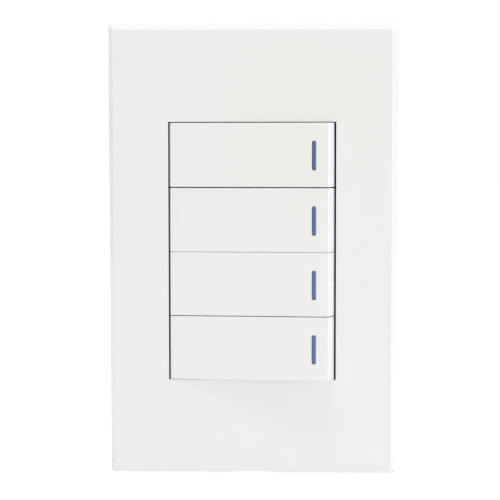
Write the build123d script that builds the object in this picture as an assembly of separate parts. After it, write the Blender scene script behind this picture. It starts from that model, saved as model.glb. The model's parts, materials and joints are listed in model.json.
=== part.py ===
"""Four-gang light switch for a vertical wall box, with tall wide rockers.

The origin is the middle of the fixing-slot pattern on the wall. +X is to the right, +Z is up and
the front faces -Y, so a depth in front of the wall is a negative y. All sizes are millimetres.
"""
from build123d import *
import os
from math import atan2, degrees, hypot, sqrt

# Cover plate
plate_width = 77.0
plate_height = 120.0
plate_depth = 8.2
plate_wall = 1.8
plate_rim_gap = 0.3
plate_draft = 1.9
plate_corner_radius = 0.9
plate_edge_radius = 0.5
opening_width = 43.9
opening_height = 67.9
opening_skirt_wall = 1.2
opening_skirt_gap = 0.3
opening_skirt_end = 4.0
pry_notch_width = 9.0
pry_notch_height = 1.6

# Gangs and rockers
gang_count = 4
rocker_gap = 0.18
rocker_side_gap = 0.43
rocker_proud = 3.2
rocker_wall = 1.5
rocker_side_wall = 1.3
rocker_skirt = 5.0
rocker_edge_radius = 0.25
rocker_play = (0.0, -0.1, 0.0, 0.0)
lens_width = 1.15
lens_height = 7.8
lens_from_end = 3.8
lens_drop = 0.15
lens_dome = 0.35
lens_flange = 0.7
lens_flange_margin = 0.6

# Rocker carrier, with the pivot on the wall plane
pivot_depth = 0.0
trunnion_radius = 1.5
trunnion_clearance = 0.05
trunnion_engagement = 1.25
hub_radius = 3.0
hub_side_gap = 0.45
carrier_length = 18.0
carrier_plate = 1.6
carrier_web = 1.4
carrier_side_gap = 1.0
tube_wall = 1.0
tube_end = 8.0
hook_wall = 1.2
hook_length = 5.0
hook_lip = 0.5
fit_gap = 0.1

# Spring, plunger and contact lever
plunger_radius = 1.5
plunger_clearance = 0.1
plunger_tip = 11.0
plunger_length = 5.4
spring_wire = 0.5
spring_turns = 5
spring_seat = 4.0
lever_tilt = 7.0
lever_length = 18.0
lever_width = 5.0
lever_thickness = 0.9
lever_bead_radius = 1.2
lever_tip_gap = 0.1
lever_bearing_clearance = 0.05
contact_radius = 1.5
contact_thickness = 0.8
contact_shank_radius = 0.8
contact_arm = 7.0
contact_clearance = 0.08

# Terminals
terminal_sheet = 0.8
clamp_width = 6.8
clamp_height = 7.6
clamp_depth = 7.5
clamp_wall = 0.9
clamp_screw_wall = 2.2
clamp_side_gap = 0.2
terminal_insulation = 2.0
screw_radius = 1.25
screw_thread_clearance = 0.05
screw_head_radius = 2.4
screw_head_height = 1.5
screw_access_clearance = 0.2
screw_slot_width = 0.7
screw_slot_depth = 0.6
wire_hole_radius = 1.6
wire_funnel = 0.5
wire_guide_wall = 1.0
wire_guide_gap = 0.1

# Base behind the wall
base_width = 39.0
base_wall = 1.6
base_partition = 1.6
base_back_wall = 2.0
base_corner_radius = 1.5
base_end_gap = 0.8
base_groove_width = 1.0
base_groove_depth = 0.4
strip_gauge_length = 11.0
strip_gauge_width = 3.0
latch_length = 6.0
latch_drop = 1.4
latch_height = 2.2
latch_proud = 0.9

# Pivot deck
deck_floor = 1.5
deck_floor_top = 1.5
deck_rim_wall = 1.4
deck_rim_end = 8.0
deck_bearing_wall = 2.8
deck_bearing_top = 2.6
deck_bearing_half_width = 3.4
deck_bearing_foot = 8.0
deck_flange = 1.2
deck_flange_side = 3.6
deck_flange_end = 1.9
deck_snap_throat = 2.7
deck_window_half_width = 4.2

# Mounting strap
strap_sheet = 1.2
strap_end_inset = 1.0
strap_corner_radius = 3.0
strap_fold_depth = 3.4
strap_fold_gap = 0.55
strap_fold_length = 66.0
strap_window_clearance = 0.3
fixing_spacing = 83.5
slot_width = 4.5
slot_length = 8.0
level_notch_radius = 1.2
side_slot_reach = 17.0
side_slot_length = 6.0
side_slot_width = 3.2
bead_reach = 9.5
bead_length = 9.0
bead_width = 2.0
bead_rise = 0.6
tab_length = 6.0
tab_sheet = 1.0
tab_overlap = 1.0
tab_clearance = 0.15
tab_rows = (-20.0, 20.0)

# Inner frame and its screws
frame_side_inset = 4.2
frame_end_inset = 4.0
frame_end_band = 9.0
frame_fold_gap = 1.0
frame_corner_radius = 2.0
frame_floor = 2.0
frame_wall = 1.6
frame_lip = 1.4
frame_lip_height = 2.0
plate_screw_from_end = 3.5
plate_screw_radius = 1.45
plate_screw_clearance = 0.05
plate_screw_head_radius = 2.8
plate_screw_head_height = 1.9
plate_screw_pass_radius = 1.9
plate_screw_cross = 3.0
snap_rows = (-28.0, 28.0)
snap_length = 8.0
snap_proud = 0.9
snap_height = 1.5
snap_from_rim = 2.7
snap_clearance = 0.1
snap_slack = 0.5

# Indicator lamp
board_thickness = 1.0
board_width = 9.6
board_inner_edge = 5.4
board_outer_gap = 0.6
led_radius = 1.5
led_clearance = 0.1
led_height = 4.0
lead_radius = 0.3
lead_row = 3.3
lead_drop = 2.6
lead_bend = 1.0
resistor_length = 3.2
resistor_width = 1.6
resistor_height = 0.6

# Places that follow from the sizes above
gang_pitch = (opening_height - rocker_gap) / gang_count
rocker_height = gang_pitch - rocker_gap
gang_rows = [(gang_count - 1 - 2 * i) * gang_pitch / 2 for i in range(gang_count)]
pivot_y = -pivot_depth
end_reach = opening_width / 2 - rocker_side_gap
plane_height = plate_depth - pivot_depth
end_radius = hypot(end_reach, plane_height)
proud_reach = sqrt(end_radius**2 - (plane_height + rocker_proud) ** 2)
swing = degrees(atan2(rocker_proud, end_reach + proud_reach))
half_face = hypot(end_reach + proud_reach, rocker_proud) / 2
face_rise = sqrt(end_radius**2 - half_face**2)
ceiling_rise = face_rise - rocker_wall
skirt_rise = face_rise - rocker_skirt
lens_reach = half_face - lens_from_end
bore_radius = plunger_radius + plunger_clearance
bearing_face = (gang_pitch - deck_bearing_wall) / 2
hub_half_length = bearing_face - hub_side_gap
carrier_half_height = bearing_face - carrier_side_gap
lever_y = pivot_y + plunger_tip + lever_tip_gap + lever_bead_radius
lever_front = lever_bead_radius
lever_back = lever_bead_radius - lever_thickness
deck_back = deck_floor_top + deck_floor
clamp_outer = base_width / 2 - base_wall - clamp_side_gap
clamp_inner = clamp_outer - clamp_width
channel_outer = clamp_outer - clamp_screw_wall
channel_inner = clamp_inner + clamp_wall
wire_x = (channel_outer + channel_inner) / 2
base_half_height = (gang_count * gang_pitch + deck_bearing_wall) / 2 - deck_rim_wall - base_end_gap
deck_half_height = base_half_height + fit_gap + deck_rim_wall
deck_half_width = base_width / 2 + fit_gap + deck_rim_wall
frame_top = plate_depth - plate_wall
frame_width = plate_width - 2 * frame_side_inset
frame_height = plate_height - 2 * frame_end_inset
flange_half_width = deck_half_width + deck_flange_side
tab_reach = flange_half_width + tab_clearance + tab_sheet
strap_width = 2 * (tab_reach + strap_fold_gap + strap_sheet)
strap_height = frame_height - 2 * strap_end_inset
frame_window_width = strap_width + 2 * frame_fold_gap
frame_window_height = frame_height - 2 * frame_end_band
plate_screw_spacing = strap_height - 2 * plate_screw_from_end


def rotated_depth(reach, rise, angle):
    """How far behind its pivot a point lies after it turns by an angle, in degrees."""
    return (Vector(reach, -rise, 0).rotate(Axis.Z, angle)).Y


closed_contact = rotated_depth(-contact_arm - contact_radius, lever_back - contact_thickness, -lever_tilt)
fixed_contact_y = lever_y + closed_contact + contact_clearance
terminal_y = fixed_contact_y + contact_thickness
clamp_end = terminal_y + clamp_depth
base_end = clamp_end + base_back_wall
screw_y = terminal_y + (clamp_depth + terminal_sheet) / 2


def facing(depth):
    """A sketch plane that looks out of the wall, with x to the right and y up."""
    return Plane(origin=(0, -depth, 0), x_dir=(1, 0, 0), z_dir=(0, -1, 0))


def prism(sketch, depth_from, depth_to):
    """A sketch of the front view, extruded from one depth in front of the wall to another."""
    return extrude(facing(depth_from) * sketch, depth_to - depth_from)


def section(points, half_length, middle=0.0):
    """A closed outline of x and rise towards the front, extruded up and down."""
    outline = [(x, -rise) for x, rise in points]
    face = make_face(Polyline(*outline, close=True))
    return Pos(0, 0, middle) * extrude(face, half_length, both=True)


def upright_rod(radius, half_length, reach=0.0, rise=0.0, middle=0.0):
    """A round rod along Z."""
    return Pos(reach, -rise, middle) * Cylinder(radius, 2 * half_length)


def depth_rod(radius, rise_from, rise_to, reach=0.0, height=0.0):
    """A round rod that points out of the wall."""
    length = rise_to - rise_from
    return Pos(reach, -(rise_from + rise_to) / 2, height) * Rot(90, 0, 0) * Cylinder(radius, length)


def side_rod(radius, reach_from, reach_to, y=0.0, height=0.0):
    """A round rod along X."""
    length = abs(reach_to - reach_from)
    return Pos((reach_from + reach_to) / 2, y, height) * Rot(0, 90, 0) * Cylinder(radius, length)


def both_sides(piece):
    """A piece and its mirror image across the middle of the switch."""
    return piece + mirror(piece, Plane.YZ)


def both_ends(piece):
    """A piece and its mirror image below."""
    return piece + mirror(piece, Plane.XY)


def plate_blank(inset, depth_from, depth_to, corner_radius):
    """A drafted slab that narrows from the wall to the face."""
    slope = plate_draft / (plate_depth - plate_rim_gap)
    near = inset + slope * (depth_from - plate_rim_gap)
    far = inset + slope * (depth_to - plate_rim_gap)
    outlines = [
        facing(depth) * RectangleRounded(plate_width - 2 * shift, plate_height - 2 * shift, corner_radius)
        for depth, shift in ((depth_from, near), (depth_to, far))
    ]
    return loft(Sketch() + outlines)


def rocker_hole():
    """The rocker opening, flared behind to clear the turned ends of the rockers."""
    flare = end_radius + rocker_side_gap
    back = plate_depth - plate_wall
    half = opening_width / 2
    relief = sqrt(flare**2 - back**2) if flare > back else half
    outline = [(half, plate_depth + 1), (half, plate_depth), (max(relief, half), back)]
    outline += [(max(relief, half), back - 1)]
    outline += [(-x, rise) for x, rise in reversed(outline)]
    return section(outline, opening_height / 2)


def opening_skirt():
    """The wall behind the opening, which stiffens the plate and hides the works."""
    inner_width = 2 * (end_radius + rocker_side_gap)
    inner_height = opening_height + 2 * opening_skirt_gap
    outer = Rectangle(inner_width + 2 * opening_skirt_wall, inner_height + 2 * opening_skirt_wall)
    ring = outer - Rectangle(inner_width, inner_height)
    return prism(ring, opening_skirt_end, plate_depth - plate_wall / 2)


def snap_ribs():
    """Ribs inside the cover plate that hook behind the latches of the inner frame."""
    slope = plate_draft / (plate_depth - plate_rim_gap)
    outer = plate_width / 2 - slope * snap_from_rim - plate_wall / 2
    inner = frame_width / 2 + 2 * snap_clearance
    outline = [(outer, snap_from_rim), (inner, snap_from_rim), (inner, snap_from_rim - 0.6), (outer, 1.2)]
    rib = Compound(children=[section(outline, snap_length / 2, row) for row in snap_rows])
    return both_sides(rib)


def make_cover_plate():
    """The thin moulded cover with drafted sides, open at the back."""
    shell = plate_blank(0, plate_rim_gap, plate_depth, plate_corner_radius)
    front = shell.faces().sort_by(Axis.Y)[0]
    shell = fillet(front.edges(), plate_edge_radius)
    hollow = plate_blank(plate_wall, plate_rim_gap, frame_top, plate_corner_radius)
    notch = section(
        [(-pry_notch_width / 2, 0), (pry_notch_width / 2, 0)]
        + [(pry_notch_width / 2, pry_notch_height), (-pry_notch_width / 2, pry_notch_height)],
        plate_wall * 2,
        -plate_height / 2,
    )
    shell = shell - hollow + opening_skirt() - rocker_hole()
    return shell + snap_ribs() - notch


def make_inner_frame():
    """The moulded frame that the cover plate snaps on to, screwed to the strap."""
    outer = RectangleRounded(frame_width, frame_height, frame_corner_radius)
    inner = Rectangle(frame_width - 2 * frame_wall, frame_height - 2 * frame_wall)
    window = RectangleRounded(frame_window_width, frame_window_height, frame_corner_radius)
    lip = RectangleRounded(
        frame_window_width + 2 * frame_lip, frame_window_height + 2 * frame_lip, frame_corner_radius
    )
    floor_top = strap_sheet + frame_floor
    body = prism(outer - window, strap_sheet, floor_top)
    body += prism(outer - inner, floor_top - 0.5, frame_top)
    body += prism(lip - window, floor_top - 0.5, floor_top + frame_lip_height)
    pads = Pos(0, plate_screw_spacing / 2) * Circle(plate_screw_pass_radius)
    body -= prism(both_ends_sketch(pads), 0, floor_top + 1)
    half = frame_width / 2
    nose = snap_from_rim + snap_clearance
    outline = [(half - 0.5, nose), (half + snap_proud, nose), (half + snap_proud, nose + 0.5)]
    outline += [(half - 0.5, nose + snap_height + 1)]
    latches = Compound(children=[section(outline, snap_length / 2 - snap_slack, row) for row in snap_rows])
    return body + both_sides(latches)


def both_ends_sketch(sketch):
    """A front-view sketch and its mirror image below."""
    return sketch + mirror(sketch, Plane.XZ)


def strap_beads(narrower, depth_from, depth_to):
    """The four pressed beads beside the fixing slots, or the grooves behind them."""
    bead = SlotOverall(bead_length - narrower, bead_width - narrower, rotation=90)
    bead = Pos(bead_reach, fixing_spacing / 2) * bead
    return both_ends(both_sides(prism(bead, depth_from, depth_to)))


def make_mounting_strap():
    """The steel strap that the wall box's screws hold, with the base gripped in its window."""
    outline = RectangleRounded(strap_width, strap_height, strap_corner_radius)
    window = Rectangle(
        2 * (deck_half_width + strap_window_clearance), 2 * (deck_half_height + strap_window_clearance)
    )
    slot = Pos(0, fixing_spacing / 2) * SlotOverall(slot_length, slot_width, rotation=90)
    thread = Pos(0, plate_screw_spacing / 2) * Circle(plate_screw_radius + plate_screw_clearance)
    notch = Pos(0, strap_height / 2) * Circle(level_notch_radius)
    side_slot = Pos(side_slot_reach, fixing_spacing / 2) * SlotOverall(side_slot_length, side_slot_width)
    holes = slot + thread + notch + side_slot + mirror(side_slot, Plane.YZ)
    sheet = prism(outline - window - both_ends_sketch(holes), 0, strap_sheet)
    sheet += strap_beads(0, strap_sheet / 2, strap_sheet + bead_rise)
    sheet -= strap_beads(bead_width / 2, -1, bead_rise)
    half = strap_width / 2
    fold = section(
        [(half, 0), (half, strap_fold_depth), (half - strap_sheet, strap_fold_depth), (half - strap_sheet, 0)],
        strap_fold_length / 2,
    )
    tab_foot = flange_half_width + tab_clearance
    tab_under = strap_sheet + deck_flange + 0.05
    tab_top = tab_under + tab_sheet
    hook_end = flange_half_width - tab_overlap
    outline = [(tab_foot, strap_sheet - 0.2), (tab_foot, tab_under), (hook_end, tab_under), (hook_end, tab_top)]
    outline += [(tab_reach, tab_top), (tab_reach, strap_sheet - 0.2)]
    tabs = Compound(children=[section(outline, tab_length / 2, row) for row in tab_rows])
    return sheet + both_sides(fold) + both_sides(tabs)


def make_plate_screws():
    """Two pan-head screws that hold the inner frame to the strap."""
    seat = strap_sheet + frame_floor
    head = prism(Circle(plate_screw_head_radius), seat, seat + plate_screw_head_height)
    head = fillet(head.faces().sort_by(Axis.Y)[0].edges(), plate_screw_head_height / 2)
    cross = Rectangle(plate_screw_cross, screw_slot_width) + Rectangle(screw_slot_width, plate_screw_cross)
    head -= prism(cross, seat + plate_screw_head_height - 1.0, seat + plate_screw_head_height + 1)
    shank = prism(Circle(plate_screw_radius), 0.1, seat + 0.2)
    screw = Pos(0, 0, plate_screw_spacing / 2) * (head + shank)
    return Compound(children=[screw, Pos(0, 0, -plate_screw_spacing) * screw])


def bearing_wall(half_thickness, middle):
    """A wall between two gangs that carries the trunnions."""
    top = pivot_depth + deck_bearing_top
    outline = [(-deck_bearing_foot, -deck_floor_top), (-deck_bearing_half_width, top)]
    outline += [(deck_bearing_half_width, top), (deck_bearing_foot, -deck_floor_top)]
    return section(outline, half_thickness, middle)


def bearing_bore():
    """The bearings of every trunnion in one line, each open to the front through a snap-in throat."""
    half_length = gang_rows[0] + bearing_face + trunnion_engagement + 0.2
    throat = deck_snap_throat / 2
    top = pivot_depth + deck_bearing_top + 1
    mouth = [(-throat, pivot_depth), (-throat, top), (throat, top), (throat, pivot_depth)]
    bore = upright_rod(trunnion_radius + trunnion_clearance, half_length, 0, pivot_depth)
    return bore + section(mouth, half_length)


def latch_window_points(x_from, x_to, clearance):
    """The outline of a base latch seen from above, or of the window that it snaps into."""
    start = deck_back + latch_drop - clearance
    end = start + latch_height + 2 * clearance
    return [(x_from, -start), (x_to, -start), (x_to, -end), (x_from, -end)]


def make_pivot_deck():
    """The moulded deck over the base, with the rockers' bearings and the flange that sits on the strap."""
    outer = Rectangle(2 * deck_half_width, 2 * deck_half_height)
    inner = Rectangle(2 * (deck_half_width - deck_rim_wall), 2 * (deck_half_height - deck_rim_wall))
    rim = prism(outer - inner, -deck_rim_end, strap_sheet + deck_flange)
    flange_outline = RectangleRounded(2 * flange_half_width, 2 * (deck_half_height + deck_flange_end), 1.0)
    flange = prism(flange_outline - inner, strap_sheet, strap_sheet + deck_flange)
    body = rim + flange + prism(outer, -deck_back, -deck_floor_top)
    window = Rectangle(2 * deck_window_half_width, 2 * bearing_face)
    led_hole = Pos(led_reach(), -lens_drop) * Circle(led_radius + led_clearance)
    for row in gang_rows:
        body -= prism(Pos(0, row) * (window + led_hole), -deck_back - 1, strap_sheet)
    for i in range(gang_count - 1):
        body += bearing_wall(deck_bearing_wall / 2, (gang_rows[i] + gang_rows[i + 1]) / 2)
    end_inner = gang_rows[0] + bearing_face
    end_half = (deck_half_height - end_inner) / 2
    body += both_ends(bearing_wall(end_half, end_inner + end_half))
    windows = section(
        latch_window_points(deck_half_width - deck_rim_wall - 0.2, deck_half_width + 1, fit_gap),
        latch_length / 2 + fit_gap,
        gang_pitch,
    )
    return body - bearing_bore() - both_ends(both_sides(windows))


def make_switch_base():
    """The moulded base with a cell for each gang, wire holes behind and screw holes at the sides."""
    outer = RectangleRounded(base_width, 2 * base_half_height, base_corner_radius)
    inner = Rectangle(base_width - 2 * base_wall, 2 * (base_half_height - base_wall))
    body = prism(outer, -base_end, -deck_back) - prism(inner, -clamp_end, -deck_back + 1)
    for i in range(gang_count - 1):
        middle = (gang_rows[i] + gang_rows[i + 1]) / 2
        wall = Pos(0, middle) * Rectangle(base_width - base_wall, base_partition)
        body += prism(wall, -clamp_end - 0.2, -deck_back)
    for middle in (gang_rows[i] - gang_pitch / 2 for i in range(gang_count - 1)):
        groove = Rectangle(base_width + 2, base_groove_width)
        core = Rectangle(base_width - 2 * base_groove_depth, base_groove_width)
        body -= prism(Pos(0, middle) * (groove - core), -base_end - 1, -deck_rim_end - base_groove_width)
        body -= prism(Pos(0, middle) * groove, -base_end - 1, -base_end + base_groove_depth)
    gauge = Pos(0, gang_rows[1]) * Rectangle(strip_gauge_length, strip_gauge_width)
    body -= prism(gauge, -base_end - 1, -base_end + base_groove_depth)
    guide_row = (clamp_height + wire_guide_wall) / 2 + wire_guide_gap
    rib = Pos(wire_x, guide_row) * Rectangle(clamp_width - 2, wire_guide_wall)
    for row in gang_rows:
        body += both_sides(prism(Pos(0, row) * both_ends_sketch(rib), -clamp_end - 0.2, -screw_y))
        body -= both_sides(depth_rod(wire_hole_radius, -base_end - 1, -clamp_end + 0.1, wire_x, row))
        funnel = Pos(wire_x, base_end - wire_funnel / 2, row) * Rot(90, 0, 0)
        funnel *= Cone(wire_hole_radius + wire_funnel, wire_hole_radius, wire_funnel)
        body -= both_sides(funnel)
        access = side_rod(screw_head_radius + screw_access_clearance, clamp_outer, base_width, screw_y, row)
        body -= both_sides(access)
    latch = latch_window_points(base_width / 2 - 0.3, base_width / 2 + latch_proud, 0)
    latch[1] = (base_width / 2, latch[1][1])
    latches = section(latch, latch_length / 2, gang_pitch)
    return body + both_ends(both_sides(latches))


def led_reach():
    """Where the lamp stands: straight behind the lens with the rocker at rest."""
    lens = Vector(lens_reach, -face_rise, 0).rotate(Axis.Z, -swing)
    return lens.X


def rocker_bar(radius, rise_from, rise_to, half_height):
    """A bar across the switch whose two ends are turned about the pivot."""
    band = Pos(0, -(rise_from + rise_to) / 2) * Rectangle(3 * radius, rise_to - rise_from)
    return extrude(Circle(radius) & band, half_height, both=True)


def lens_slot(width, height):
    """The outline of the lens or its flange on the rocker's face."""
    return Pos(lens_reach, -lens_drop) * SlotOverall(height, width, rotation=90)


def make_rocker():
    """The rocker's moulded cap, with hooks below that grip its carrier."""
    half_height = rocker_height / 2
    cap = rocker_bar(end_radius, skirt_rise, face_rise, half_height)
    cap = fillet(cap.faces().sort_by(Axis.Y)[0].edges(), rocker_edge_radius)
    cap -= rocker_bar(end_radius - rocker_wall, skirt_rise - 1, ceiling_rise, half_height - rocker_side_wall)
    reach = carrier_length / 2 + fit_gap
    under = ceiling_rise - carrier_plate
    outline = [(reach, ceiling_rise + 0.2), (reach, under - fit_gap), (reach - hook_lip, under - fit_gap)]
    outline += [(reach, skirt_rise + 0.1), (reach + hook_wall, skirt_rise + 0.1)]
    outline += [(reach + hook_wall, ceiling_rise + 0.2)]
    cap += both_sides(section(outline, hook_length / 2))
    return cap - prism(lens_slot(lens_width, lens_height), ceiling_rise - 0.1, face_rise + 1)


def make_lens():
    """The blue lens, pressed in from behind against its flange."""
    stem = prism(lens_slot(lens_width, lens_height), ceiling_rise, face_rise)
    stem = fillet(stem.faces().sort_by(Axis.Y)[0].edges(), lens_dome)
    margin = 2 * lens_flange_margin
    flange = prism(lens_slot(lens_width + margin, lens_height + margin), ceiling_rise - lens_flange, ceiling_rise)
    return stem + flange


def make_carrier():
    """The inner rocker: trunnions, hubs and webs, with the plunger's tube behind."""
    under = ceiling_rise - carrier_plate
    half = carrier_length / 2
    outline = [(-half, under), (-half, ceiling_rise), (half, ceiling_rise), (half, under)]
    outline += [(hub_radius * 0.8, 0), (-hub_radius * 0.8, 0)]
    body = section(outline, carrier_half_height)
    core = [(-half - 1, under), (half + 1, under), (half + 1, -1), (-half - 1, -1)]
    body -= section(core, carrier_half_height - carrier_web)
    body += upright_rod(hub_radius, hub_half_length)
    body += upright_rod(trunnion_radius, bearing_face + trunnion_engagement)
    body += depth_rod(bore_radius + tube_wall, -tube_end, under + 0.2)
    return body - depth_rod(bore_radius, -tube_end - 1, spring_seat)


def make_plunger():
    """The bullet-nosed plunger that the spring pushes against the contact lever."""
    end = plunger_radius - plunger_tip
    body = depth_rod(plunger_radius, end, plunger_length - plunger_tip)
    return body + Pos(0, -end, 0) * Sphere(plunger_radius)


def make_spring():
    """The compression spring between the carrier's bore and the plunger."""
    low = plunger_length - plunger_tip + spring_wire / 2
    high = spring_seat - spring_wire / 2
    coil_radius = plunger_radius - spring_wire / 2 - 0.05
    path = Helix((high - low) / spring_turns, high - low, coil_radius)
    wire = Plane(origin=path @ 0, z_dir=path % 0) * Circle(spring_wire / 2)
    return Pos(0, -low, 0) * Rot(90, 0, 0) * sweep(wire, path=path, is_frenet=True)


def make_contact_lever():
    """The copper seesaw, with a rolled bead that rocks in the common terminal."""
    half = lever_length / 2
    outline = [(-half, lever_back), (-half, lever_front), (half, lever_front), (half, lever_back)]
    body = section(outline, lever_width / 2) + upright_rod(lever_bead_radius, lever_width / 2)
    return body - depth_rod(contact_shank_radius, -5, 5, -contact_arm)


def make_moving_contact():
    """The silver rivet in the lever."""
    head = depth_rod(contact_radius, lever_back - contact_thickness, lever_back, -contact_arm)
    head = fillet(head.faces().sort_by(Axis.Y)[-1].edges(), contact_thickness / 2)
    return head + depth_rod(contact_shank_radius, lever_back - 0.1, lever_front, -contact_arm)


def clamp_box():
    """A box clamp with a wire channel from behind and a screw thread from the side."""
    block = Rectangle(clamp_width, clamp_height)
    block = Pos((clamp_inner + clamp_outer) / 2, 0) * block
    channel = Pos(wire_x, 0) * Rectangle(channel_outer - channel_inner, clamp_height - 2 * clamp_screw_wall)
    body = prism(block, -clamp_end, -terminal_y)
    body -= prism(channel, -clamp_end - 1, -terminal_y - terminal_sheet)
    return body - side_rod(screw_radius + screw_thread_clearance, wire_x, clamp_outer + 1, screw_y)


def make_common_terminal():
    """The brass common terminal, from the lever's cradle to its clamp on the right."""
    front = -terminal_y
    cradle_top = -(lever_y + lever_bead_radius / 2)
    end = lever_length / 2
    stop_top = -lever_y - rotated_depth(end, lever_back, lever_tilt) - 0.15
    outline = [(-terminal_insulation, cradle_top), (terminal_insulation, cradle_top)]
    outline += [(terminal_insulation, front), (end - 2.2, front), (end - 1.8, stop_top)]
    outline += [(end, stop_top), (end + 0.4, front), (clamp_inner + 0.2, front)]
    outline += [(clamp_inner + 0.2, front - terminal_sheet), (-terminal_insulation, front - terminal_sheet)]
    body = section(outline, lever_width / 2)
    body -= upright_rod(lever_bead_radius + lever_bearing_clearance, lever_width, 0, -lever_y)
    return body + clamp_box()


def make_load_terminal():
    """The brass load terminal on the left, with its tongue under the moving contact."""
    front = -terminal_y
    tongue_end = -contact_arm + contact_radius + 0.5
    outline = [(-clamp_inner - 0.2, front), (tongue_end, front)]
    outline += [(tongue_end, front - terminal_sheet), (-clamp_inner - 0.2, front - terminal_sheet)]
    body = section(outline, lever_width / 2) + mirror(clamp_box(), Plane.YZ)
    return body - depth_rod(contact_shank_radius, front - 2, front + 1, -contact_arm)


def make_fixed_contact():
    """The silver rivet in the load terminal."""
    head = depth_rod(contact_radius, -terminal_y, -fixed_contact_y, -contact_arm)
    head = fillet(head.faces().sort_by(Axis.Y)[0].edges(), contact_thickness / 2)
    return head + depth_rod(contact_shank_radius, -terminal_y - terminal_sheet, -terminal_y, -contact_arm)


def make_terminal_screw():
    """One clamp screw with a slotted head, on the right side."""
    head = side_rod(screw_head_radius, clamp_outer, clamp_outer + screw_head_height, screw_y)
    slot = Pos(clamp_outer + screw_head_height, screw_y, 0)
    slot *= Box(2 * screw_slot_depth, screw_slot_width, 2 * screw_head_radius + 1)
    return head - slot + side_rod(screw_radius, wire_x + 0.4, clamp_outer + 0.1, screw_y)


def make_lamp_board():
    """The indicator lamp's board under the deck, with its two leads."""
    outer = base_width / 2 - base_wall - board_outer_gap
    back = -deck_back
    outline = [(board_inner_edge, back), (outer, back)]
    outline += [(outer, back - board_thickness), (board_inner_edge, back - board_thickness)]
    body = section(outline, board_width / 2)
    led = led_reach()
    dome = depth_rod(led_radius, back - 0.2, back + led_height - led_radius, led, -lens_drop)
    dome += Pos(led, -(back + led_height - led_radius), -lens_drop) * Sphere(led_radius)
    chip = Pos(board_inner_edge + resistor_length, deck_back + board_thickness + resistor_height / 2, 0)
    chip *= Box(resistor_length, resistor_height + 0.1, resistor_width)
    start = deck_back + board_thickness / 2
    short_lead = depth_rod(lead_radius, -terminal_y, -start, wire_x, lead_row)
    corners = [(board_inner_edge + 1, start), (board_inner_edge + 1, start + lead_drop)]
    corners += [(-wire_x, start + lead_drop), (-wire_x, terminal_y)]
    path = FilletPolyline(*[(x, y, lead_row) for x, y in corners], radius=lead_bend)
    wire = Plane(origin=path @ 0, z_dir=path % 0) * Circle(lead_radius)
    return body + dome + chip + short_lead + sweep(wire, path=path)


def on_rocker(piece, row):
    """A piece of the rocker, turned to rest and set in its gang."""
    return Pos(0, pivot_y, row) * Rot(0, 0, -swing) * piece


def on_lever(piece, row):
    """A piece of the contact lever, tipped to rest and set in its gang."""
    return Pos(0, lever_y, row) * Rot(0, 0, lever_tilt) * piece


def gang_pieces(number, row, shift):
    """Every separate piece of one gang, by name."""
    return {
        f"rocker_{number}": on_rocker(make_rocker(), row + shift),
        f"indicator_lens_{number}": on_rocker(make_lens(), row + shift),
        f"rocker_carrier_{number}": on_rocker(make_carrier(), row),
        f"plunger_spring_{number}": on_rocker(make_spring(), row),
        f"plunger_{number}": on_rocker(make_plunger(), row),
        f"contact_lever_{number}": on_lever(make_contact_lever(), row),
        f"moving_contact_{number}": on_lever(make_moving_contact(), row),
        f"fixed_contact_{number}": Pos(0, 0, row) * make_fixed_contact(),
        f"common_terminal_{number}": Pos(0, 0, row) * make_common_terminal(),
        f"load_terminal_{number}": Pos(0, 0, row) * make_load_terminal(),
        f"lamp_board_{number}": Pos(0, 0, row) * make_lamp_board(),
    }


def terminal_screws():
    """The eight clamp screws."""
    right = make_terminal_screw()
    left = mirror(right, Plane.YZ)
    return Compound(children=[Pos(0, 0, row) * screw for row in gang_rows for screw in (right, left)])


def all_pieces():
    """Every node of the switch, by name."""
    pieces = {
        "cover_plate": make_cover_plate(),
        "inner_frame": make_inner_frame(),
        "plate_screws": make_plate_screws(),
        "mounting_strap": make_mounting_strap(),
        "pivot_deck": make_pivot_deck(),
        "switch_base": make_switch_base(),
        "terminal_screws": terminal_screws(),
    }
    for i, row in enumerate(gang_rows):
        pieces |= gang_pieces(i + 1, row, rocker_play[i])
    return pieces


os.makedirs("parts", exist_ok=True)
for name, piece in all_pieces().items():
    export_step(piece, f"parts/{name}.step")
print("swing", round(swing, 4), "tilt", lever_tilt, "face rise", round(face_rise, 3))
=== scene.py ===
"""Four-gang light switch: detailed visible pieces, finishes, stage, lights and camera.

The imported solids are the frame. The cover plate, rocker caps, lenses and screws are modelled here at
the same places, and every other solid keeps its shape and gets a procedural finish.
"""
import json
import math

import bmesh
import bpy
from mathutils import Matrix, Vector

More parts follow.
